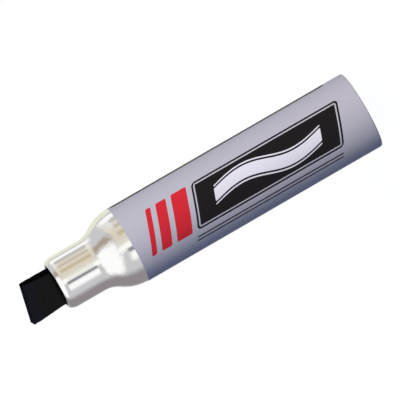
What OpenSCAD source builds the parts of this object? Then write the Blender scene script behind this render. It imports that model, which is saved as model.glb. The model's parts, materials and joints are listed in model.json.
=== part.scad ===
// Jumbo permanent marker with a chisel felt nib, standing on its rear end with the nib up.
// Lengths are in millimetres. Z is the axis of the barrel, and z = 0 is the face it stands on.
// The nib's broad faces look along -Y and +Y, and its writing edge rises towards -X.

/* [Barrel] */
// Outer diameter of the aluminium barrel
barrel_d = 30; // [26:0.5:40]
// Straight length of the barrel, from the base to the start of the shoulder
barrel_len = 99; // [80:0.2:140]
// Thickness of the aluminium skin
wall = 0.6; // [0.4:0.1:1]
// Length of the S-shaped shoulder between barrel and neck
shoulder_len = 15.2; // [10:0.2:20]
// Radius of the hollow curve where the shoulder runs into the neck
foot_r = 9; // [3:0.5:11]
// Length of the neck with its rolled-in mouth
neck_len = 14.8; // [10:0.2:22]
// How far the mouth is rolled inwards
rim_w = 1.8; // [1.4:0.1:2.4]
// Height over which the mouth is rolled in
rim_h = 3.6; // [1.6:0.2:5]
// Outer radius of the rolled rear edge
base_r = 1.5; // [1.1:0.1:2.4]
// Width of the flat ring that is rolled under the base
base_lip = 1.6; // [1:0.1:3]

/* [Label] */
// Thickness of the printed film
film_t = 0.15; // [0.1:0.05:0.4]
// Bare metal left between the film and the shoulder
film_margin = 0; // [0:0.1:5]
// How far the film is drawn round the rear edge, in degrees
film_wrap = 60; // [10:5:75]

/* [Nib] */
// Width of the felt block in its slot
nib_w = 13; // [9:0.2:14]
// Thickness of the felt block in its slot
nib_t = 10; // [7:0.2:11]
// Width at the writing edge, where the felt spreads
nib_tip_w = 15; // [9:0.2:18]
// Thickness left at the writing edge
nib_tip_t = 6.5; // [3:0.1:8]
// Slant of the writing edge, in degrees
nib_slant = 10; // [0:1:25]
// Height of the chisel bevels, square to the writing edge
nib_bevel = 3.6; // [1:0.2:6]
// How far the middle of the writing edge stands out of the mouth
nib_reach = 13; // [10:0.2:25]
// How deep the foot of the nib dips into the wadding
nib_dip = 10; // [4:0.5:30]

/* [Nib holder] */
// Wall of the moulded holder
holder_t = 1.4; // [1:0.1:2]
// Straight skirt of the holder, below the shoulder
holder_skirt = 3; // [1:0.5:10]
// Number of stiffening ribs inside the holder
rib_count = 8; // [4:1:12]
// Thickness of one stiffening rib
rib_t = 1; // [0.6:0.1:2]
// Radius in the corners of the slot for the nib
slot_edge_r = 0.5; // [0.2:0.1:0.8]
// Height of the ridges that grip the nib
grip_h = 0.2; // [0.1:0.05:0.25]
// Width of the ridges that grip the nib
grip_w = 1; // [0.6:0.1:2]
// Spacing of the ridges that grip the nib
grip_pitch = 5; // [3:0.2:7]
// Radius of the air grooves on the outside of the holder
vent_r = 0.5; // [0.2:0.1:0.8]

/* [Reservoir] */
// Thickness of the film wrapped round the wadding
wrap_t = 0.2; // [0.1:0.05:0.5]

/* [Rear closure] */
// Thickness of the metal end cup
cup_t = 0.6; // [0.4:0.1:1]
// Height of the end cup
cup_h = 6; // [4:0.5:12]
// Outer radius of the corner of the end cup
cup_r = 1.2; // [1.1:0.1:2]
// Diameter of the raised panel in the floor of the end cup
panel_d = 18; // [8:1:20]
// Rise of that panel
panel_rise = 0.8; // [0.3:0.1:1.5]
// Thickness of the sealing ring
gasket_t = 1; // [0.6:0.1:2]
// How far the sealing ring sits back from the edge of the rolled base
gasket_inset = 0.3; // [0.1:0.1:0.6]

/* [Clearances] */
// Gap between the corners of the nib and the mouth
mouth_gap = 0.25; // [0.2:0.05:1]
// Gap between the nib and the walls of its slot
slot_gap = 0.35; // [0.3:0.05:0.6]
// Gap between pieces that are pushed into the barrel and the barrel
fit_gap = 0.1; // [0.02:0.02:0.2]
// Gap between pieces that are stacked on each other
seat_gap = 0.05; // [0.02:0.01:0.2]
// Glue gap under the printed film and round the wadding
glue_gap = 0.02; // [0.01:0.01:0.1]
// Air gap between the wrapped wadding and the barrel
air_gap = 0.3; // [0.1:0.05:0.6]

/* [Hidden] */
$fn = 96;
// Straight steps in one round stretch of an outline
arc_steps = 12;
// How far a cut runs past the face that it goes through
through = 1;

// Radii of the barrel, of the round mouth that clears the nib, and of the neck
barrel_r = barrel_d / 2;
mouth_r = norm([nib_w, nib_t]) / 2 + mouth_gap;
neck_r = mouth_r + rim_w;

// The shoulder is two arcs that meet at one tangent, so its angle follows from its rise and length
shoulder_angle = 2 * atan((barrel_r - neck_r) / shoulder_len);
crown_r = shoulder_len / sin(shoulder_angle) - foot_r;

// Heights along the barrel
neck_z = barrel_len + shoulder_len;
rim_z = neck_z + neck_len;
mouth_z = rim_z - wall;
tip_z = rim_z + nib_reach;
film_top_z = barrel_len - film_margin;
gasket_z = wall + seat_gap;
cup_z = gasket_z + gasket_t + seat_gap;
wadding_z = cup_z + cup_h + seat_gap;
holder_z = barrel_len - holder_skirt;
wadding_top_z = holder_z - seat_gap;
nib_foot_z = wadding_top_z - nib_dip;

// Pieces inside the barrel, as insets from its outer surface or as radii
holder_inset = wall + fit_gap;
holder_top_z = mouth_z - fit_gap;
cup_outer_r = barrel_r - wall - fit_gap;
wrap_outer_r = barrel_r - wall - air_gap;
wadding_r = wrap_outer_r - wrap_t - glue_gap;
slot_w = nib_w + 2 * slot_gap;
slot_t = nib_t + 2 * slot_gap;

// Points of a round stretch of an outline, from one angle to another. A stretch that goes on from
// another one leaves out its first point
function arc(centre, r, from, to, first = 0) =
    [for (i = [first:arc_steps]) let (a = from + (to - from) * i / arc_steps)
        centre + r * [cos(a), sin(a)]];

function backwards(points) = [for (i = [len(points) - 1:-1:0]) points[i]];

// The barrel's surface in three stretches, moved inwards by an inset or outwards by a negative one
function base_corner(inset, from = -90) =
    arc([barrel_r - base_r, base_r], base_r - inset, from, 0);
function shoulder(inset) = concat(
    arc([barrel_r - crown_r, barrel_len], crown_r - inset, 0, shoulder_angle),
    arc([neck_r + foot_r, neck_z], foot_r + inset, 180 + shoulder_angle, 180, first = 1));
function rim(inset) =
    [for (p = arc([0, 0], 1, 0, 90))
        [neck_r - rim_w + (rim_w - inset) * p.x, rim_z - rim_h + (rim_h - inset) * p.y]];

// A rectangle with true round corners, centred
module rounded_rectangle(w, t, r) {
    square([w - 2 * r, t], center = true);
    square([w, t - 2 * r], center = true);
    for (x = [-1, 1], y = [-1, 1])
        translate([x * (w / 2 - r), y * (t / 2 - r)]) circle(r);
}

// Everything inside the barrel's surface at an inset, from a height up to the top of the holder
module inside(inset, from_z) {
    rotate_extrude()
        polygon(concat(
            [[0, from_z], [barrel_r - inset, from_z]],
            shoulder(inset),
            rim(inset),
            [[0, rim_z - inset]]));
}

// One skin of metal: straight barrel, shoulder and neck, rolled in at the mouth and under the base
module barrel() {
    lip_r = barrel_r - base_r - base_lip;
    color("gainsboro")
        rotate_extrude()
            polygon(concat(
                [[lip_r, 0]],
                base_corner(0), shoulder(0), rim(0),
                backwards(rim(wall)), backwards(shoulder(wall)), backwards(base_corner(wall)),
                [[lip_r, wall]]));
}

// Printed film, shrunk onto the barrel and drawn round its rear edge
module label_sleeve() {
    inner = -glue_gap;
    outer = -glue_gap - film_t;
    color("lightsteelblue")
        rotate_extrude()
            polygon(concat(
                base_corner(outer, -film_wrap),
                [[barrel_r - outer, film_top_z], [barrel_r - inner, film_top_z]],
                backwards(base_corner(inner, -film_wrap))));
}

// Felt block: straight where it is held and spreading above the mouth. One plane cuts its slanted
// writing edge, and two slope away from that edge as the bevels
module nib() {
    spread_h = nib_reach + nib_tip_w;
    spread_x = nib_w / 2 + (nib_tip_w - nib_w) / 2 * spread_h / nib_reach;
    cut_h = 2 * (tip_z - nib_foot_z);
    cut_y = nib_tip_t / 2 + (nib_t - nib_tip_t) / 2 * cut_h / nib_bevel;
    color([0.06, 0.06, 0.07])
        intersection() {
            rotate([90, 0, 0])
                linear_extrude(nib_t, center = true)
                    polygon([
                        [-nib_w / 2, nib_foot_z], [nib_w / 2, nib_foot_z], [nib_w / 2, rim_z],
                        [spread_x, rim_z + spread_h], [-spread_x, rim_z + spread_h],
                        [-nib_w / 2, rim_z]]);
            translate([0, 0, tip_z])
                rotate([0, nib_slant, 0])
                    rotate([90, 0, 90])
                        linear_extrude(cut_h, center = true)
                            polygon([
                                [-nib_tip_t / 2, 0], [nib_tip_t / 2, 0],
                                [cut_y, -cut_h], [-cut_y, -cut_h]]);
        }
}

// Slot for the nib, with ridges that grip its broad faces
module nib_slot() {
    difference() {
        linear_extrude(rim_z)
            rounded_rectangle(slot_w, slot_t, slot_edge_r);
        for (x = [-1, 1], y = [-1, 1])
            translate([x * grip_pitch / 2 - grip_w / 2, y * (slot_t / 2 - grip_h / 2) - grip_h / 2, neck_z])
                cube([grip_w, grip_h, neck_len]);
    }
}

// Moulded bell that nests in the shoulder and neck: outer wall, nib tube, face plate and ribs
module nib_holder() {
    core_inset = holder_inset + holder_t;
    core_top_z = holder_top_z - holder_t;
    color("ivory")
        difference() {
            inside(holder_inset, holder_z);
            difference() {
                rotate_extrude()
                    polygon(concat(
                        [[0, holder_z - through], [barrel_r - core_inset, holder_z - through]],
                        shoulder(core_inset),
                        [[neck_r - core_inset, core_top_z], [0, core_top_z]]));
                linear_extrude(rim_z)
                    rounded_rectangle(
                        slot_w + 2 * holder_t, slot_t + 2 * holder_t, slot_edge_r + holder_t);
                for (i = [0:rib_count - 1])
                    rotate(360 * (i + 0.5) / rib_count)
                        translate([0, -rib_t / 2, holder_z])
                            cube([barrel_r, rib_t, rim_z - holder_z]);
            }
            nib_slot();
            for (y = [-1, 1])
                translate([0, y * (neck_r - holder_inset), holder_z - through])
                    cylinder(r = vent_r, h = rim_z);
        }
}

// Bundle of fibres that holds the ink, with a pocket for the foot of the nib
module ink_reservoir() {
    color("dimgray")
        difference() {
            translate([0, 0, wadding_z])
                cylinder(r = wadding_r, h = wadding_top_z - wadding_z);
            translate([0, 0, nib_foot_z - slot_gap])
                linear_extrude(nib_dip + slot_gap + through)
                    rounded_rectangle(slot_w, slot_t, slot_edge_r);
        }
}

// Film tube round the fibres
module reservoir_wrap() {
    color("whitesmoke")
        translate([0, 0, wadding_z])
            difference() {
                cylinder(r = wrap_outer_r, h = wadding_top_z - wadding_z);
                translate([0, 0, -through])
                    cylinder(r = wrap_outer_r - wrap_t, h = wadding_top_z - wadding_z + 2 * through);
            }
}

// Drawn metal cup that closes the rear end, with a raised panel in its floor
module end_cup() {
    corner = [cup_outer_r - cup_r, cup_z + cup_r];
    panel_r = panel_d / 2;
    color("silver")
        rotate_extrude()
            polygon(concat(
                [[0, cup_z + panel_rise], [panel_r, cup_z + panel_rise], [panel_r + panel_rise, cup_z]],
                arc(corner, cup_r, -90, 0),
                [[cup_outer_r, cup_z + cup_h], [cup_outer_r - cup_t, cup_z + cup_h]],
                arc(corner, cup_r - cup_t, 0, -90),
                [[panel_r + panel_rise, cup_z + cup_t], [panel_r, cup_z + cup_t + panel_rise],
                 [0, cup_z + cup_t + panel_rise]]));
}

// Sealing ring that the rolled base presses against the end cup
module end_gasket() {
    outer_r = barrel_r - base_r;
    inner_r = outer_r - base_lip + gasket_inset;
    color("darkslategray")
        translate([0, 0, gasket_z])
            difference() {
                cylinder(r = outer_r, h = gasket_t);
                translate([0, 0, -through])
                    cylinder(r = inner_r, h = gasket_t + 2 * through);
            }
}

barrel();
label_sleeve();
nib();
nib_holder();
ink_reservoir();
reservoir_wrap();
end_cup();
end_gasket();
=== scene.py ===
"""Jumbo chisel tip marker: a necked aluminium can in a printed film sleeve, with a broad felt nib.

Lengths below are in millimetres, in the part's own frame: Z runs along the barrel with the nib up,
z = 0 is the ring that it stands on, and the nib's broad face looks towards -Y.
"""

import json

import bmesh
import bpy
import numpy as np
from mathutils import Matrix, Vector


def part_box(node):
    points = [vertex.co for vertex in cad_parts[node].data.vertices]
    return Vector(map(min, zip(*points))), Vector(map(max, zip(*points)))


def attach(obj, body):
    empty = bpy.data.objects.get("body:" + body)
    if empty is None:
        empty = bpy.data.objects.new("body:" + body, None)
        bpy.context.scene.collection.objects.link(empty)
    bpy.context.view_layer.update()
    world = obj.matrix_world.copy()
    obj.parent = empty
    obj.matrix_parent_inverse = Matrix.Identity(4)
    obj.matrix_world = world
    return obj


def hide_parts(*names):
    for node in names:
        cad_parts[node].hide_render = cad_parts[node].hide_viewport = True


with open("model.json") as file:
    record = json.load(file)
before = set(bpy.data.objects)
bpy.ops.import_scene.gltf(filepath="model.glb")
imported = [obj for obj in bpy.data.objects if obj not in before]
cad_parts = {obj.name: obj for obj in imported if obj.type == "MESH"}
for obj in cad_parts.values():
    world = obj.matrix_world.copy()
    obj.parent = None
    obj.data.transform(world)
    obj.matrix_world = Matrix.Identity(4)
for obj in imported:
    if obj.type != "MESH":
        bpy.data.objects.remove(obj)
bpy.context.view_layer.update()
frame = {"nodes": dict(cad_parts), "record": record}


# Barrel
# One can of soft aluminium, extruded from a slug, necked down over a mandrel and polished.
# Its mouth is rolled in round the nib holder, and its base is rolled under the end cup.

MM = 0.001


def corners(node):
    """Lowest and highest corner of a CAD node at rest, in millimetres."""
    return np.array(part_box(node)) / MM


mounts = {mount["name"]: mount["dims"] for mount in frame["record"]["mounts"]}
barrel_r, _, rim_z = corners("barrel")[1]
neck_r = mounts["cap_neck"]["r_mm"]
wall = 0.6
neck_len = 14.8
rim_w = 1.8
rim_h = 3.6
rim_turn = 80
shoulder_len = 15.2
foot_r = 9.0
base_r = 0.7
base_lip = 2.4
neck_z = rim_z - neck_len
barrel_len = neck_z - shoulder_len
lip_r = barrel_r - base_r - base_lip
edge_r = wall / 2

# The shoulder is two arcs that meet at one tangent
shoulder_angle = 2 * np.degrees(np.arctan((barrel_r - neck_r) / shoulder_len))
crown_r = shoulder_len / np.sin(np.radians(shoulder_angle)) - foot_r

# The necking rolls leave two sets of faint flats on the shoulder. Each has a count round the can, a share
# of the depth, a start in radians, and a twist in radians for each millimetre of height
flat_depth = 0.03
flat_sets = ((7, 0.6, 0.9, 0.12), (11, 0.4, 2.1, -0.2))


def arc(centre, r, start, end, steps=12):
    """Round stretch of an outline: centre + r (cos a, sin a), for a from start to end in degrees."""
    a = np.radians(np.linspace(start, end, steps + 1))
    return np.array(centre) + r * np.stack([np.cos(a), np.sin(a)], axis=1)


def line(start, end, steps):
    """Straight stretch of an outline, cut into equal steps."""
    return np.linspace(start, end, steps + 1)


def shoulder(inset):
    """S-curve of the shoulder: a crown arc off the barrel, then a hollow arc into the neck."""
    crown = arc((barrel_r - crown_r, barrel_len), crown_r - inset, 0, shoulder_angle, steps=40)
    hollow = arc((neck_r + foot_r, neck_z), foot_r + inset, 180 + shoulder_angle, 180, steps=20)
    return np.concatenate([crown, hollow[1:]])


def rim(inset):
    """Rolled mouth: a quarter of an ellipse from the neck, stopped just short of level."""
    quarter = arc((0, 0), 1, 0, rim_turn, steps=16)
    return (neck_r - rim_w, rim_z - rim_h) + quarter * (rim_w - inset, rim_h - inset)


def base_corner(inset, start=-90):
    """Rounded rear edge: an arc from under the base up to the straight barrel."""
    return arc((barrel_r - base_r, base_r), base_r - inset, start, 0)


def around(columns, start=0.0):
    """Angles of one full turn in equal steps."""
    return start + np.linspace(0, 2 * np.pi, columns, endpoint=False)


def turned(r, z, a):
    """Points at radius r and height z, turned by an angle a from -Y towards +X: (r sin a, -r cos a, z)."""
    return np.stack(np.broadcast_arrays(r * np.sin(a), -r * np.cos(a), z), axis=-1)


# Points nearer than this are one point, as at a pole
pole_gap = 0.001


def piece(name, points, ring, sharp=50, fields=None):
    """Closed mesh on a grid of points: rows follow an outline, and columns go round and meet again.
    A ring's last row meets its first. Otherwise the first and last rows are poles of one point each.
    Fields are values at the points, kept as attributes of the mesh. Edges bent past sharp degrees show."""
    rows, columns = points.shape[:2]
    i, j = np.indices((rows if ring else rows - 1, columns))
    quads = [(i + down) % rows * columns + (j + over) % columns
             for down, over in ((0, 0), (0, 1), (1, 1), (1, 0))]
    mesh = bpy.data.meshes.new(name)
    mesh.from_pydata((points.reshape(-1, 3) * MM).tolist(), [],
                     np.stack(quads, axis=-1).reshape(-1, 4).tolist())
    for field, values in (fields or {}).items():
        kept = mesh.attributes.new(field, "FLOAT", "POINT")
        kept.data.foreach_set("value", values.astype(np.float32).ravel())
    if not ring:
        shell = bmesh.new()
        shell.from_mesh(mesh)
        bmesh.ops.remove_doubles(shell, verts=shell.verts, dist=pole_gap * MM)
        shell.to_mesh(mesh)
        shell.free()
    mesh.shade_smooth()
    mesh.set_sharp_from_angle(angle=np.radians(sharp))
    made = bpy.data.objects.new(name, mesh)
    bpy.context.scene.collection.objects.link(made)
    return made


can_outline = np.concatenate([
    base_corner(0),
    shoulder(0),
    line((neck_r, neck_z), (neck_r, rim_z - rim_h), steps=12)[1:-1],
    rim(0),
    arc((neck_r - rim_w + edge_r, rim_z - edge_r), edge_r, 90, 270, steps=8)[1:-1],
    rim(wall)[::-1],
    shoulder(wall)[::-1],
    base_corner(wall)[::-1],
    arc((lip_r + edge_r, edge_r), edge_r, 90, 270, steps=8),
])
can_r, can_z = can_outline.T[:, :, None]
can_turn = around(256)
on_shoulder = np.sin(np.pi * np.clip((can_z - barrel_len) / shoulder_len, 0, 1)) ** 2
flats = sum(share * np.sin(count * can_turn + start + twist * can_z)
            for count, share, start, twist in flat_sets)
can = piece("necked_can", turned(can_r + flat_depth * on_shoulder * flats, can_z, can_turn), ring=True)


def linear(code):
    """sRGB hex colour as linear red, green and blue: a straight foot, then a power of 2.4. Alpha is one."""
    c = np.array([int(code[i:i + 2], 16) for i in (1, 3, 5)]) / 255
    return (*np.where(c <= 0.04045, c / 12.92, ((c + 0.055) / 1.055) ** 2.4), 1.0)


def blank(name):
    """New material with an empty node tree."""
    material = bpy.data.materials.new(name)
    material.use_nodes = True
    material.node_tree.nodes.clear()
    return material, material.node_tree


def add(tree, kind, values, **settings):
    """Adds a node with its settings. A value that is a node or a socket is linked, any other is set."""
    node = tree.nodes.new("ShaderNode" + kind)
    for name, value in settings.items():
        setattr(node, name, value)
    sockets = [socket for socket in node.inputs if socket.enabled]
    for key, value in values.items():
        socket = sockets[key] if isinstance(key, int) else next(s for s in sockets if s.name == key)
        if isinstance(value, bpy.types.Node):
            value = next(output for output in value.outputs if output.enabled)
        if isinstance(value, bpy.types.NodeSocket):
            tree.links.new(value, socket)
        else:
            socket.default_value = value
    return node


# Polished aluminium: bright and mirror-like, a little blurred by fine marks round the barrel and by smudges.
# The marks are coarser than real polishing, so that they show. The necking has left the skin of the shoulder
# rougher, with soft lumps that fade out just inside both ends of the shoulder
mark_gap = 0.25
mark_stretch = 25
smudge_w = 9.0
lump_w = 3.0
lump_depth = 0.14
lumps_full = 3.0
lumps_end = 1.0
necking_haze = 0.06
aluminium, tree = blank("polished aluminium")
place = add(tree, "TexCoord", {}).outputs["Object"]
drawn_round = add(tree, "Mapping", {"Vector": place, "Scale": (1 / mark_stretch, 1 / mark_stretch, 1.0)})
marks = add(tree, "TexNoise", {"Vector": drawn_round, "Scale": 1 / (mark_gap * MM), "Detail": 3.0})
polish = add(tree, "Bump", {"Height": marks, "Strength": 0.06, "Distance": 0.02 * MM})
smudges = add(tree, "TexNoise", {"Vector": place, "Scale": 1 / (smudge_w * MM), "Detail": 2.0})
smudge_haze = add(tree, "MapRange", {"Value": smudges, "From Min": 0.3, "From Max": 0.7,
                                     "To Min": 0.05, "To Max": 0.09})
up_barrel = add(tree, "SeparateXYZ", {0: place}).outputs["Z"]
past_middle = add(tree, "Math", {0: up_barrel, 1: (barrel_len + neck_z) / 2 * MM}, operation="SUBTRACT")
off_middle = add(tree, "Math", {0: past_middle}, operation="ABSOLUTE")
necked = add(tree, "MapRange", {"Value": off_middle, "From Min": (shoulder_len / 2 - lumps_full) * MM,
                                "From Max": (shoulder_len / 2 - lumps_end) * MM,
                                "To Min": 1.0, "To Max": 0.0})
dents = add(tree, "TexNoise", {"Vector": place, "Scale": 1 / (lump_w * MM), "Detail": 1.0})
uneven = add(tree, "Math", {0: dents, 1: necked}, operation="MULTIPLY")
skin = add(tree, "Bump", {"Height": uneven, "Strength": 1.0, "Distance": lump_depth * MM, "Normal": polish})
haze = add(tree, "Math", {0: necked, 1: necking_haze, 2: smudge_haze}, operation="MULTIPLY_ADD")
metal = add(tree, "BsdfPrincipled", {"Base Color": linear("#FCFCFB"), "Metallic": 1.0,
                                     "Roughness": haze, "Normal": skin})
add(tree, "OutputMaterial", {"Surface": metal})
can.data.materials.append(aluminium)
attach(can, "marker_body")
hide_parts("barrel")


# Nib holder
# A bell of milky polypropylene, moulded in one shot and pressed up into the shoulder and neck.
# Its slot grips the nib, and the plastic is near black round the slot.

slot_w = 13.7
slot_t = 10.7
slot_gap = 0.35
dark_reach = 1.2

# Moulded polypropylene: waxy and slightly clear, with a fine grain from the mould. It is near black round
# the slot, out to an uneven edge
grain_w = 0.2
edge_noise_w = 1.5
milky, tree = blank("moulded polypropylene")
place = add(tree, "TexCoord", {}).outputs["Object"]
folded = add(tree, "VectorMath", {0: place}, operation="ABSOLUTE")
slot_half = (slot_w / 2 * MM, slot_t / 2 * MM, 0)
past_slot = add(tree, "VectorMath", {0: folded, 1: slot_half}, operation="SUBTRACT")
sides = add(tree, "SeparateXYZ", {0: past_slot})
beyond = add(tree, "Math", {0: sides.outputs["X"], 1: sides.outputs["Y"]}, operation="MAXIMUM")
edge_noise = add(tree, "TexNoise", {"Vector": place, "Scale": 1 / (edge_noise_w * MM), "Detail": 4.0})
# The plastic is darkened round the slot, out to an uneven edge
dark_edge = add(tree, "Math", {0: edge_noise, 1: -2 * dark_reach * MM, 2: beyond}, operation="MULTIPLY_ADD")
darkened = add(tree, "MapRange", {"Value": dark_edge, "From Min": -dark_reach * MM, "From Max": 0.0,
                               "To Min": 1.0, "To Max": 0.0})
tint = add(tree, "Mix", {"Factor": darkened, "A": linear("#E9E6DC"), "B": linear("#232127")}, data_type="RGBA")
grain = add(tree, "TexNoise", {"Vector": place, "Scale": 1 / (grain_w * MM)})
moulded = add(tree, "Bump", {"Height": grain, "Strength": 0.1, "Distance": 0.02 * MM})
plastic = add(tree, "BsdfPrincipled", {"Base Color": tint, "Roughness": 0.42, "IOR": 1.49,
                                       "Subsurface Weight": 0.2, "Subsurface Radius": (1.0, 0.9, 0.8),
                                       "Subsurface Scale": 0.8 * MM, "Normal": moulded})
add(tree, "OutputMaterial", {"Surface": plastic})
holder = frame["nodes"]["nib_holder"]
holder.data.materials.clear()
holder.data.materials.append(milky)


# Nib
# A block of hard pressed felt, pushed into the slot of the holder until its foot meets the wadding.
# It thins and spreads towards the slanted writing edge, which is bevelled on both broad faces.

nib_low, nib_high = corners("nib")
nib_w = slot_w - 2 * slot_gap
nib_t = nib_high[1] - nib_low[1]
nib_reach = 12.6
nib_tip_t = 5.6
nib_bevel = 3.6
nib_bevel_t = 7.4
nib_taper = 18.0
long_side_spread = 1.35
short_side_spread = 0.5
nib_slant = np.tan(np.radians(11))
nib_tilt = np.tan(np.radians(4))
nib_corner_r = 0.2
nib_edge_r = 0.15
nib_tip_z = rim_z + nib_reach
foot_depth = nib_tip_z - nib_low[2]

# The slant of the writing edge fades in over this length, from a little under the mouth
slant_start_z = rim_z - 6.0
slant_len = 8.0

# Painted shade darkens the felt up to this far out of the mouth. Its bevels and its tip get a painted bluish
# sheen
mouth_shade_len = 1.5
bevel_blend = 0.6
felt_lumps = 0.03

# Rows on an end face, along the rounded edge and down a bevel, and the height of a row below that
face_rows = 12
edge_rows = 6
bevel_rows = 11
felt_row = 0.35


def block_path(corner_steps, x_steps, y_steps):
    """Round a unit block once, anticlockwise: its core follows a square from corner to corner, and its
    normal turns a quarter at each corner, so core * (half size - r) + r * normal is a rounded block."""
    a = np.linspace(0, np.pi / 2, corner_steps + 1)
    round_corner = np.stack([np.cos(a), np.sin(a)], axis=1)
    quarter_turn = np.array([[0, 1], [-1, 0]])
    core, normal = [], []
    for quarter, steps in enumerate((x_steps, y_steps, x_steps, y_steps)):
        along = np.linspace(1, -1, steps + 1)[1:-1]
        side = np.stack([along, np.ones_like(along)], axis=1)
        side_normal = np.tile((0.0, 1.0), (len(along), 1))
        turns = np.linalg.matrix_power(quarter_turn, quarter)
        core.append(np.concatenate([np.ones_like(round_corner), side]) @ turns)
        normal.append(np.concatenate([round_corner, side_normal]) @ turns)
    return np.concatenate(core), np.concatenate(normal)


def lumps(shape, seed, passes):
    """Soft random lumps of unit size: seeded noise on a grid, averaged with its neighbours a few times."""
    field = np.random.default_rng(seed).standard_normal(shape)
    for axis in (0, 1) * passes:
        field = (np.roll(field, 1, axis) + 2 * field + np.roll(field, -1, axis)) / 4
    return field / field.std()


# Each row is a depth under the writing edge, along the barrel, and a share of the full outline
bend = nib_edge_r * (1 - np.sin(np.linspace(0, np.pi / 2, edge_rows)))
side_depth = np.arange(nib_bevel + felt_row, foot_depth - nib_edge_r, felt_row)
depth = np.concatenate([
    np.full(face_rows, foot_depth), foot_depth - bend[:0:-1], side_depth[::-1],
    np.linspace(nib_bevel, nib_edge_r, bevel_rows), bend[1:], np.zeros(face_rows)])[:, None]
to_edge = np.linspace(0, 1, face_rows, endpoint=False)
share = np.concatenate([to_edge, np.ones(len(depth) - 2 * face_rows), to_edge[::-1]])[:, None]
on_face = share < 1

# Half the width and thickness of each row, drawn in where the edges of the end faces are rounded
near_edge = np.minimum(depth, foot_depth - depth)
rounding = nib_edge_r - np.sqrt(nib_edge_r ** 2 - np.clip(nib_edge_r - near_edge, 0, nib_edge_r) ** 2)
thickness = np.interp(depth, (0, nib_bevel, nib_taper), (nib_tip_t, nib_bevel_t, nib_t))
core, normal = block_path(corner_steps=5, x_steps=40, y_steps=28)
spread = np.where(core[:, 0] > 0, short_side_spread, long_side_spread)
half_x = nib_w / 2 + spread * np.clip(1 - depth / nib_reach, 0, 1) - rounding
half_y = thickness / 2 - rounding

# The felt's lumps go out and in on the sides, and only inwards on the end faces
felt = felt_lumps * lumps(half_x.shape, seed=5, passes=2) * (share > 0)
on_side = np.where(on_face, 0, felt)
x = share * (core[:, 0] * (half_x - nib_corner_r) + nib_corner_r * normal[:, 0]) + on_side * normal[:, 0]
y = share * (core[:, 1] * (half_y - nib_corner_r) + nib_corner_r * normal[:, 1]) + on_side * normal[:, 1]
row_z = nib_tip_z - depth
slanted = np.clip((row_z - slant_start_z) / slant_len, 0, 1)
inwards = np.where(depth > nib_reach, 1, -1)
z = row_z + slanted * (nib_tilt * y - nib_slant * x) + inwards * np.where(on_face, np.abs(felt), 0)

# Painted shade: the felt darkens towards the mouth over this fade
mouth_shade_fade = np.clip((row_z - nib_slant * x - rim_z) / mouth_shade_len, 0, 1)
# Painted shade: only the broad faces clear of the mouth take the paler tint, and the narrow sides and end
# faces keep a darker one
pressed = mouth_shade_fade * normal[:, 1] ** 2 * (share == 1)
# Painted sheen: the bevels and the tip face take a paler bluish tint
on_tip = on_face & (depth < nib_reach)
bevel_and_tip_sheen = np.where(on_tip, 1.0, pressed * np.clip((nib_bevel - depth) / bevel_blend, 0, 1))
nib = piece("felt_nib", np.stack([x, y, z], axis=-1), ring=False, sharp=60,
            fields={"pressed": pressed, "bevel_and_tip_sheen": bevel_and_tip_sheen})

# Pressed felt soaked with ink: near black and dull, matted in tangles with open pores between them. The
# narrow sides and the felt near the mouth are painted darker than the broad faces, as painted shade
tangle_w = 0.9
pore_w = 0.35
felt_black, tree = blank("ink-soaked pressed felt")
place = add(tree, "TexCoord", {}).outputs["Object"]
tangle = add(tree, "TexNoise", {"Vector": place, "Scale": 1 / (tangle_w * MM), "Detail": 5.0,
                                "Distortion": 1.5})
pores = add(tree, "TexVoronoi", {"Vector": place, "Scale": 1 / (pore_w * MM)})
fibres = add(tree, "Math", {0: tangle, 1: pores}, operation="MULTIPLY")
nap = add(tree, "Bump", {"Height": fibres, "Strength": 0.5, "Distance": 0.15 * MM})
# The darker tint is painted shade, on the narrow sides and near the mouth
side_shade_tint = add(tree, "Mix", {"Factor": tangle, "A": linear("#040405"), "B": linear("#0C0C0D")},
               data_type="RGBA")
face_tint = add(tree, "Mix", {"Factor": tangle, "A": linear("#141414"), "B": linear("#212121")},
                data_type="RGBA")
on_unshaded_face = add(tree, "Attribute", {}, attribute_name="pressed").outputs["Fac"]
block_tint = add(tree, "Mix", {"Factor": on_unshaded_face, "A": side_shade_tint, "B": face_tint}, data_type="RGBA")
# Painted bluish sheen on the bevels and the tip face
on_bevel_and_tip_sheen = add(tree, "Attribute", {}, attribute_name="bevel_and_tip_sheen").outputs["Fac"]
felt_tint = add(tree, "Mix", {"Factor": on_bevel_and_tip_sheen, "A": block_tint, "B": linear("#1B1B20")},
                data_type="RGBA")
wool = add(tree, "BsdfPrincipled", {"Base Color": felt_tint, "Roughness": 0.9, "Specular IOR Level": 0.0,
                                    "Normal": nap})
add(tree, "OutputMaterial", {"Surface": wool})
nib.data.materials.append(felt_black)
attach(nib, "nib")
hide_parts("nib")


# Ink reservoir
# A bundle of polyester fibres that run along the barrel, bonded together and soaked with ink.
# Its top has a pocket that takes the foot of the nib.

wad_low, wad_high = corners("ink_reservoir")
wad_r = wad_high[0]
pocket_z = nib_low[2] - slot_gap
fibre_depth = 0.25
fibre_limit = 2 * fibre_depth
wad_columns = 360
flank_rows = 40
floor_rows = 6

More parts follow.
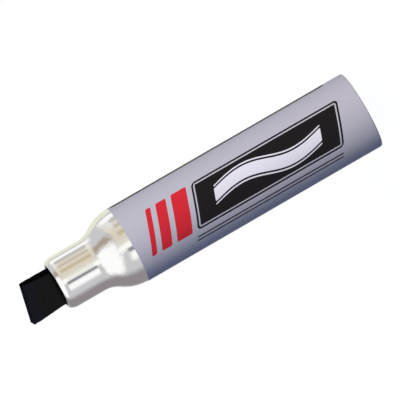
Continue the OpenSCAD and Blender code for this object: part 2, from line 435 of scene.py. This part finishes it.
# The pocket is a rectangle, so its radius is the nearer of its two sides, along each angle
wad_turn = around(wad_columns)
pocket_r = 1 / np.maximum(np.abs(np.sin(wad_turn)) / (slot_w / 2), np.abs(np.cos(wad_turn)) / (slot_t / 2))
fibre = fibre_depth * np.abs(lumps((flank_rows, wad_columns), seed=11, passes=1))
outwards = np.linspace(0, 1, floor_rows)[:, None] * np.ones_like(wad_turn)
wad_r_rows = np.concatenate([
    outwards * (wad_r - fibre_limit),
    wad_r - np.clip(fibre, 0, fibre_limit),
    pocket_r + (wad_r - fibre_limit - pocket_r) * outwards[::-1],
    pocket_r * outwards[::-1]])
wad_z_rows = np.concatenate([
    np.full(floor_rows, wad_low[2]),
    np.linspace(wad_low[2] + fibre_depth, wad_high[2] - fibre_depth, flank_rows),
    np.full(floor_rows, wad_high[2]),
    np.full(floor_rows, pocket_z)])[:, None]
wad = piece("fibre_bundle", turned(wad_r_rows, wad_z_rows, wad_turn), ring=False)

# Bonded polyester fibre: matt and almost black with ink, streaked along the barrel by its strands
strand_w = 0.4
strand_scale = 0.03
soaked, tree = blank("ink-soaked polyester fibre")
place = add(tree, "TexCoord", {}).outputs["Object"]
drawn_out = add(tree, "Mapping", {"Vector": place, "Scale": (1.0, 1.0, strand_scale)})
strands = add(tree, "TexNoise", {"Vector": drawn_out, "Scale": 1 / (strand_w * MM), "Detail": 4.0})
inky = add(tree, "Mix", {"Factor": strands, "A": linear("#0E0E12"), "B": linear("#34343C")}, data_type="RGBA")
ridges = add(tree, "Bump", {"Height": strands, "Strength": 0.6, "Distance": 0.1 * MM})
bundle = add(tree, "BsdfPrincipled", {"Base Color": inky, "Roughness": 0.7, "Normal": ridges})
add(tree, "OutputMaterial", {"Surface": bundle})
wad.data.materials.append(soaked)
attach(wad, "marker_body")
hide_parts("ink_reservoir")


# Reservoir wrap
# A sheet of clear film rolled once round the fibres and welded along one seam.
# It keeps the wet bundle off the can while it is pushed in from the rear.

wrap_low, wrap_high = corners("reservoir_wrap")
wrap_r = wrap_high[0]
wrap_t = 0.2
wrap_weld_depth = 0.05
wrap_weld_half = 1.5

wrap_outline = np.concatenate([
    line((wrap_r, wrap_low[2]), (wrap_r, wrap_high[2]), steps=60),
    line((wrap_r - wrap_t, wrap_high[2]), (wrap_r - wrap_t, wrap_low[2]), steps=60)])
wrap_r_rows, wrap_z_rows = wrap_outline.T[:, :, None]
wrap_turn = around(192)
wrap_weld = wrap_weld_depth * np.exp(-((wrap_turn - np.pi) * wrap_r / wrap_weld_half) ** 2)
pressed_in = np.where(wrap_r_rows > wrap_r - wrap_t / 2, wrap_weld, 0)
wrap = piece("wrap_tube", turned(wrap_r_rows - pressed_in, wrap_z_rows, wrap_turn), ring=True)

# Clear polyethylene film: smooth and slightly cloudy, with faint creases round the bundle
crease_w = 4.0
clear, tree = blank("clear polyethylene film")
place = add(tree, "TexCoord", {}).outputs["Object"]
creases = add(tree, "TexNoise", {"Vector": place, "Scale": 1 / (crease_w * MM), "Detail": 3.0,
                                 "Distortion": 2.0})
cloud = add(tree, "MapRange", {"Value": creases, "To Min": 0.15, "To Max": 0.35})
pull = add(tree, "Bump", {"Height": creases, "Strength": 0.2, "Distance": 0.1 * MM})
clear_film = add(tree, "BsdfPrincipled", {"Base Color": linear("#E4E6E8"), "Roughness": cloud, "IOR": 1.5,
                                          "Transmission Weight": 0.7, "Normal": pull})
add(tree, "OutputMaterial", {"Surface": clear_film})
wrap.data.materials.append(clear)
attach(wrap, "marker_body")
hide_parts("reservoir_wrap")


# Sealing ring
# A ring of nitrile rubber that lies between the floor of the end cup and the base of the can.
# It is squeezed tight when the base is rolled over it, and keeps the ink in.

seal_low, seal_high = corners("end_gasket")
seal_inset = 0.3
seal_outer_r = seal_high[0]
seal_inner_r = lip_r + seal_inset
seal_edge_r = 0.25
closure_columns = 160

seal_corners = ((seal_outer_r, seal_low[2], -90), (seal_outer_r, seal_high[2], 0),
                (seal_inner_r, seal_high[2], 90), (seal_inner_r, seal_low[2], 180))
seal_middle = np.array([(seal_outer_r + seal_inner_r) / 2, (seal_low[2] + seal_high[2]) / 2])
seal_outline = np.concatenate([
    arc((r, z) + seal_edge_r * np.sign(seal_middle - (r, z)), seal_edge_r, start, start + 90, steps=4)
    for r, z, start in seal_corners])
seal_r_rows, seal_z_rows = seal_outline.T[:, :, None]
seal = piece("sealing_ring", turned(seal_r_rows, seal_z_rows, around(closure_columns)), ring=True)

# Nitrile rubber: dull black with a dusty bloom
bloom_w = 1.2
rubber, tree = blank("nitrile rubber")
place = add(tree, "TexCoord", {}).outputs["Object"]
bloom = add(tree, "TexNoise", {"Vector": place, "Scale": 1 / (bloom_w * MM), "Detail": 3.0})
dusty = add(tree, "Mix", {"Factor": bloom, "A": linear("#141415"), "B": linear("#2A2A2B")}, data_type="RGBA")
matt = add(tree, "BsdfPrincipled", {"Base Color": dusty, "Roughness": 0.75, "IOR": 1.52})
add(tree, "OutputMaterial", {"Surface": matt})
seal.data.materials.append(rubber)
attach(seal, "marker_body")
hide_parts("end_gasket")


# End cup
# A cup drawn from thin aluminium, pushed in after the reservoir with its open side towards the nib.
# The base of the can is rolled over it, so that only its floor shows from behind.

cup_low, cup_high = corners("end_cup")
cup_r = cup_high[0]
cup_t = 0.6
cup_corner_r = 1.2
cup_panel_r = 9.0
cup_panel_rise = 0.8
cup_panel_slope = 1.6
cup_flat_end = 0.2
cup_panel_rows = 7
cup_slope_rows = 15


def cup_floor(lift):
    """Floor of the cup from the middle outwards: a raised panel, then a smooth step down to the rim, which
    falls by 3 s^2 - 2 s^3 along the share s of its slope."""
    r = np.concatenate([
        np.linspace(0, cup_panel_r, cup_panel_rows, endpoint=False),
        np.linspace(cup_panel_r, cup_panel_r + cup_panel_slope, cup_slope_rows),
        [cup_r - cup_corner_r - cup_flat_end]])
    s = np.clip((r - cup_panel_r) / cup_panel_slope, 0, 1)
    return np.stack([r, cup_low[2] + lift + cup_panel_rise * (1 - s ** 2 * (3 - 2 * s))], axis=1)


cup_centre = (cup_r - cup_corner_r, cup_low[2] + cup_corner_r)
cup_outline = np.concatenate([
    cup_floor(0),
    arc(cup_centre, cup_corner_r, -90, 0),
    arc((cup_r - cup_t / 2, cup_high[2] - cup_t / 2), cup_t / 2, 0, 180, steps=8),
    arc(cup_centre, cup_corner_r - cup_t, 0, -90),
    cup_floor(cup_t)[::-1]])
cup_r_rows, cup_z_rows = cup_outline.T[:, :, None]
cup = piece("rear_cup", turned(cup_r_rows, cup_z_rows, around(closure_columns)), ring=False)

# Drawn aluminium: duller than the can, with fine rings from the tool
ring_gap = 0.3
satin, tree = blank("drawn aluminium")
place = add(tree, "TexCoord", {}).outputs["Object"]
rings = add(tree, "TexWave", {"Vector": place, "Scale": 1 / (2 * np.pi * ring_gap * MM), "Distortion": 0.6,
                              "Detail": 2.0}, wave_type="RINGS", rings_direction="Z")
tooling = add(tree, "Bump", {"Height": rings, "Strength": 0.15, "Distance": 0.03 * MM})
drawn_metal = add(tree, "BsdfPrincipled", {"Base Color": linear("#DDDCDA"), "Metallic": 1.0,
                                           "Roughness": 0.3, "Normal": tooling})
add(tree, "OutputMaterial", {"Surface": drawn_metal})
cup.data.materials.append(satin)
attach(cup, "marker_body")
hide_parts("end_cup")


# Printed sleeve
# A strip of silver-grey polypropylene film, printed flat, rolled round the can and welded at a seam.
# It is shrunk over the rounded rear edge, and ends in a clean cut at the foot of the shoulder.

film_r, _, film_top_z = corners("label_sleeve")[1]
film_t = 0.15
glue = film_r - film_t - barrel_r
film_columns = 320
film_row = 0.4

# How far the film goes round the rear edge, in degrees
film_wrap = 50

# Places round the barrel are distances across the film, from a line that is turned a little off -Y
print_turn = np.radians(14)
seam_across = -32.0
weld_step = 0.04
weld_w = 3.0
weld_blend = 0.3

film_outline = np.concatenate([
    base_corner(-glue - film_t, -film_wrap)[:-1],
    line((film_r, base_r), (film_r, film_top_z), steps=int((film_top_z - base_r) / film_row)),
    line((film_r - film_t, film_top_z), (film_r - film_t, base_r), steps=4)[:-1],
    base_corner(-glue, -film_wrap)[::-1]])
film_r_rows, film_z_rows = film_outline.T[:, :, None]
film_turn = around(film_columns, print_turn + seam_across / film_r)
across = film_r * (film_turn - print_turn)

# The film lies double at the weld, so its outer side is a step lower everywhere else
past_seam = across - seam_across
on_weld = np.clip(past_seam / weld_blend, 0, 1) * np.clip((weld_w - past_seam) / weld_blend, 0, 1)
from_corner = np.hypot(film_r_rows - barrel_r + base_r, np.minimum(film_z_rows - base_r, 0))
outer_side = from_corner > base_r + glue + film_t / 2
lowered = np.where(outer_side, weld_step * (1 - on_weld), 0)

# The front print is a dark panel with slanted ends, a waved ribbon with a thin line along each side, two
# stripes beside the panel and three bars before it
print_lean = np.radians(20)
panel = (25, 83)
panel_half = 8.5
panel_corner_r = 1.6
panel_line_inset = 1.0
ribbon = (33, 75)
ribbon_swing = 2.2
ribbon_strips = ((0, 2.2), (-3.1, 0.25), (3.1, 0.25))
stripes = (-11.2, -12.8)
stripe_half = 0.3
stripe_corner_r = 0.1
red_bars = ((17, 23), (11, 15), (7, 9))
bar_corner_r = 0.5

# The print behind is a plain dark panel with three bars along it, given by their middle and half width
back_panel = (1, 91)
back_sides = (19.8, 57)
back_line_inset = 2.4
back_bar_ends = (12, 72)
back_bars = ((30, 0.6), (37, 1.4), (47, 2.8))


def slab(u, v, u_span, v_span, r):
    """Signed distance to a rounded rectangle, negative inside: how far a point is past the core that is
    r smaller all round, less r."""
    past_u = np.abs(u - sum(u_span) / 2) - (u_span[1] - u_span[0]) / 2 + r
    past_v = np.abs(v - sum(v_span) / 2) - (v_span[1] - v_span[0]) / 2 + r
    outside = np.hypot(np.maximum(past_u, 0), np.maximum(past_v, 0))
    return outside + np.minimum(np.maximum(past_u, past_v), 0) - r


# Each ink is a signed distance to its nearest edge: down runs from the nib end, and askew is down, measured
# square to the slanted ends
down = film_top_z - film_z_rows
askew = down * np.cos(print_lean) - across * np.sin(print_lean)
panel_sides = (-panel_half, panel_half)
front_edge = slab(askew, across, panel, panel_sides, panel_corner_r)
back_edge = slab(down, across, back_panel, back_sides, panel_corner_r)
panel_line = np.minimum(front_edge + panel_line_inset, back_edge + back_line_inset)
black = np.minimum.reduce([front_edge, back_edge] + [
    slab(askew, across, panel, (middle - stripe_half, middle + stripe_half), stripe_corner_r)
    for middle in stripes])
red = np.minimum.reduce([slab(askew, across, ends, panel_sides, bar_corner_r) for ends in red_bars])
ribbon_len = ribbon[1] - ribbon[0]
ribbon_wave = ribbon_swing * np.sin(2 * np.pi * (askew - ribbon[0]) / ribbon_len)
past_ends = np.abs(askew - sum(ribbon) / 2) - ribbon_len / 2
white = np.minimum.reduce([
    np.maximum(np.abs(across - ribbon_wave - middle) - half, past_ends) for middle, half in ribbon_strips
] + [
    slab(down, across, back_bar_ends, (middle - half, middle + half), bar_corner_r)
    for middle, half in back_bars])
sleeve = piece("printed_sleeve", turned(film_r_rows - lowered, film_z_rows, film_turn), ring=True,
               fields={"black_ink": black, "red_ink": red, "white_ink": white, "panel_line": panel_line})

# Printed polypropylene film: a satin silver-grey ground with flat inks, of which the black is glossier. The
# ground shows again in a thin line inside each panel
mottle_w = 0.6
ink_blur = 0.04
panel_line_half = 0.26
inks = {"black_ink": "#1C181B", "panel_line": "#BFBCC5", "white_ink": "#E4E1E9", "red_ink": "#D02B36"}
printed, tree = blank("printed polypropylene film")
place = add(tree, "TexCoord", {}).outputs["Object"]
mottle = add(tree, "TexNoise", {"Vector": place, "Scale": 1 / (mottle_w * MM), "Detail": 3.0})
colour = add(tree, "Mix", {"Factor": mottle, "A": linear("#B6B3BC"), "B": linear("#BEBBC4")},
             data_type="RGBA")
coverage = {}
for name, code in inks.items():
    past_edge = add(tree, "Attribute", {}, attribute_name=name).outputs["Fac"]
    edge_at = 0.0
    if name == "panel_line":
        past_edge = add(tree, "Math", {0: past_edge}, operation="ABSOLUTE")
        edge_at = panel_line_half
    coverage[name] = add(tree, "MapRange", {"Value": past_edge, "From Min": edge_at - ink_blur,
                                            "From Max": edge_at + ink_blur, "To Min": 1.0, "To Max": 0.0})
    colour = add(tree, "Mix", {"Factor": coverage[name], "A": colour, "B": linear(code)}, data_type="RGBA")
satin_ink = add(tree, "MapRange", {"Value": coverage["black_ink"], "To Min": 0.5, "To Max": 0.42})
film_grain = add(tree, "Bump", {"Height": mottle, "Strength": 0.03, "Distance": 0.02 * MM})
printed_film = add(tree, "BsdfPrincipled", {"Base Color": colour, "Roughness": satin_ink,
                                            "Specular IOR Level": 0.1, "Normal": film_grain})
add(tree, "OutputMaterial", {"Surface": printed_film})
sleeve.data.materials.append(printed)
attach(sleeve, "marker_body")
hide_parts("label_sleeve")


# Studio
# A round white table, a light tent that the metal mirrors, and two soft lamps: a key to the right and
# another behind. The long lens is turned about its own axis, so the upright marker lies across the picture.

table_r = 400.0
table_columns = 128
table_mesh = bpy.data.meshes.new("table")
table_edge = turned(table_r, 0.0, around(table_columns)) * MM
table_mesh.from_pydata(table_edge.tolist(), [], [list(range(table_columns))])
table = bpy.data.objects.new("table", table_mesh)
bpy.context.scene.collection.objects.link(table)
table.visible_glossy = False

# White laminate: it shows as plain white, of which a small share is real light and dims in the shadow. It is
# clear from below, and the metal doesn't mirror it, because the tent has a floor of its own
plain_share = 0.86
laminate, tree = blank("white laminate")
table_rays = add(tree, "LightPath", {}).outputs
seen = add(tree, "Math", {0: table_rays["Is Camera Ray"], 1: table_rays["Is Transmission Ray"]},
           operation="MAXIMUM")
glow = add(tree, "Math", {0: seen, 1: plain_share}, operation="MULTIPLY")
plain = add(tree, "Emission", {"Color": linear("#FFFFFF"), "Strength": glow})
lit = add(tree, "BsdfDiffuse", {"Color": linear("#9C9C9C")})
top = add(tree, "AddShader", {0: lit, 1: plain})
through = add(tree, "BsdfTransparent", {})
from_below = add(tree, "NewGeometry", {}).outputs["Backfacing"]
add(tree, "OutputMaterial", {"Surface": add(tree, "MixShader", {0: from_below, 1: top, 2: through})})
table_mesh.materials.append(laminate)

# The tent, as the metal mirrors it: a grey dome with white cloths and a few cards and posts, later ones over
# earlier ones. Each spans so many degrees aside of the tent's front, and fades at its sides over so many.
# It also spans heights, as sines of the angle over the horizon, and fades there over one blur. A height past
# the nadir or zenith has no fade
tent_front = 15
tent_wall = "#C9C9CC"
tent_blur = 0.18
nadir = -1.2
zenith = 1.2
tent_cards = {
    "open side": (-160, -83, 34, nadir, 0.8, "#8F898D"),
    "rear cloth": (132, 166, 10, nadir, 0.5, "#E8E8D4"),
    "warm card": (16, 84, 22, nadir, 0.4, "#DDD4C2"),
    "side cloth": (66, 119, 24, 0.0, 0.36, "#E6E4E2"),
    "pale card": (-6, 18, 20, nadir, 0.4, "#E2DED2"),
    "overhead cloth": (-72, 31, 20, 0.5, zenith, "#FFFFFF"),
    "brown card": (29, 56, 20, 0.44, zenith, "#AA9C8C"),
    "front strip": (-12, 7, 10, -0.1, 0.5, "#FFFFFA"),
    "side strip": (102, 119, 8, nadir, 0.3, "#FFFEFC"),
    "low card": (-47, -21, 20, nadir, 0.09, "#FFFFFF"),
    "tan post": (35, 47, 16, nadir, 0.1, "#C0B496"),
    "grey post": (-20, -9, 8, nadir, 0.08, "#8C8C90"),
    "slim post": (61, 71, 10, nadir, 0.08, "#C2B8AB"),
    "far post": (86, 97, 9, nadir, 0.08, "#C0BCB9"),
    "floor": (-180, 180, 0.1, nadir, -0.8, "#A8A6A4"),
}

world = bpy.data.worlds.new("light tent")
world.use_nodes = True
world.cycles.sampling_method = "NONE"
bpy.context.scene.world = world
tree = world.node_tree
tree.nodes.clear()

# How far a direction is aside of the front: its bearing b is drawn in as the dome climbs by an angle c, to
# 2 atan(tan(b / 2) cos c), so that a card keeps its width on the way up
heading = add(tree, "SeparateXYZ", {0: add(tree, "TexCoord", {}).outputs["Generated"]}).outputs
height = heading["Z"]
south = add(tree, "Math", {0: heading["Y"], 1: -1.0}, operation="MULTIPLY")
swing = add(tree, "Math", {0: heading["X"], 1: south}, operation="ARCTAN2")
bearing = add(tree, "Math", {0: swing, 1: np.radians(tent_front)}, operation="SUBTRACT")
half_bearing = add(tree, "Math", {0: bearing, 1: 0.5}, operation="MULTIPLY")
slope = add(tree, "Math", {0: half_bearing}, operation="TANGENT")
climb = add(tree, "Math", {0: height}, operation="ARCSINE")
narrowing = add(tree, "Math", {0: climb}, operation="COSINE")
drawn_in = add(tree, "Math", {0: slope, 1: narrowing}, operation="MULTIPLY")
half_aside = add(tree, "Math", {0: drawn_in}, operation="ARCTANGENT")
aside = add(tree, "Math", {0: half_aside, 1: np.degrees(2)}, operation="MULTIPLY")
tent = linear(tent_wall)
for left, right, fade, low, high, code in tent_cards.values():
    shown = 1.0
    for reach, start, end, soft in ((aside, left, right, fade), (height, low, high, tent_blur)):
        off = add(tree, "Math", {0: reach, 1: (start + end) / 2}, operation="SUBTRACT")
        away = add(tree, "Math", {0: off}, operation="ABSOLUTE")
        within = add(tree, "MapRange", {"Value": away, "From Min": (end - start - soft) / 2,
                                        "From Max": (end - start + soft) / 2, "To Min": 1.0, "To Max": 0.0},
                     interpolation_type="SMOOTHSTEP")
        shown = add(tree, "Math", {0: shown, 1: within}, operation="MULTIPLY")
    tent = add(tree, "Mix", {"Factor": shown, "A": tent, "B": linear(code)}, data_type="RGBA")

# The metal mirrors the tent, dull surfaces get a blue fill from it, and the camera sees plain white
world_rays = add(tree, "LightPath", {}).outputs
fill_light = add(tree, "Background", {"Color": linear("#5B7098"), "Strength": 1.0})
mirrored = add(tree, "Background", {"Color": tent, "Strength": 1.0})
backdrop = add(tree, "Background", {"Color": linear("#FFFFFF"), "Strength": 1.0})
light = add(tree, "MixShader", {0: world_rays["Is Glossy Ray"], 1: fill_light, 2: mirrored})
clear_view = add(tree, "Math", {0: world_rays["Is Camera Ray"], 1: world_rays["Is Transmission Ray"]},
                 operation="MAXIMUM")
add(tree, "OutputWorld", {"Surface": add(tree, "MixShader", {0: clear_view, 1: light, 2: backdrop})})


def sight(azimuth, elevation, roll=0.0):
    """Right, up and back of a lamp or camera that looks at the marker from an azimuth, from -Y towards +X,
    and an elevation over the table, and is turned by a roll about its own axis, all in degrees."""
    a, e, t = np.radians((azimuth, elevation, roll))
    back = np.array([np.sin(a) * np.cos(e), -np.cos(a) * np.cos(e), np.sin(e)])
    level = np.array([np.cos(a), np.sin(a), 0.0])
    upright = np.cross(back, level)
    return np.cos(t) * level - np.sin(t) * upright, np.sin(t) * level + np.cos(t) * upright, back


def aimed(axes, target, distance):
    """Matrix of a lamp or camera with these axes, as far back from its target as the distance says. Blender
    takes it column by column."""
    matrix = np.eye(4)
    matrix[:3] = np.stack([*axes, (target + distance * axes[2]) * MM], axis=1)
    return matrix.T


# Each lamp has an azimuth, an elevation, a colour and a power in watts
lamps = {"key": (42, 12, "#FFFAF2", 39.5), "back": (196, 16, "#FFFFFF", 34)}
lamp_distance = 2000
lamp_size = 1000
marker_middle = np.array([0, 0, 68.0])
for name, (azimuth, elevation, code, watts) in lamps.items():
    softbox = bpy.data.lights.new(name, "AREA")
    softbox.size = lamp_size * MM
    softbox.color = linear(code)[:3]
    softbox.energy = watts
    lamp = bpy.data.objects.new(name, softbox)
    lamp.matrix_world = aimed(sight(azimuth, elevation), marker_middle, lamp_distance)
    lamp.visible_glossy = False
    bpy.context.scene.collection.objects.link(lamp)

# The camera looks at the barrel from a little above, and is rolled so that the nib points down left. A pixel
# is a length at the marker, and the middle of the picture lies a few pixels off the middle of the marker
picture = 400
pixel = 0.3638
off_middle_right = -0.85
off_middle_up = 2.5
lens = bpy.data.cameras.new("long lens")
lens.lens = 900
lens.sensor_width = 36
camera_distance = picture * pixel * lens.lens / lens.sensor_width
camera_axes = sight(azimuth=15, elevation=6.4, roll=120.02)
aim = marker_middle + pixel * (off_middle_right * camera_axes[0] + off_middle_up * camera_axes[1])
camera = bpy.data.objects.new("camera", lens)
camera.matrix_world = aimed(camera_axes, aim, camera_distance)
bpy.context.scene.collection.objects.link(camera)
bpy.context.scene.camera = camera
bpy.context.scene.view_settings.view_transform = "Standard"
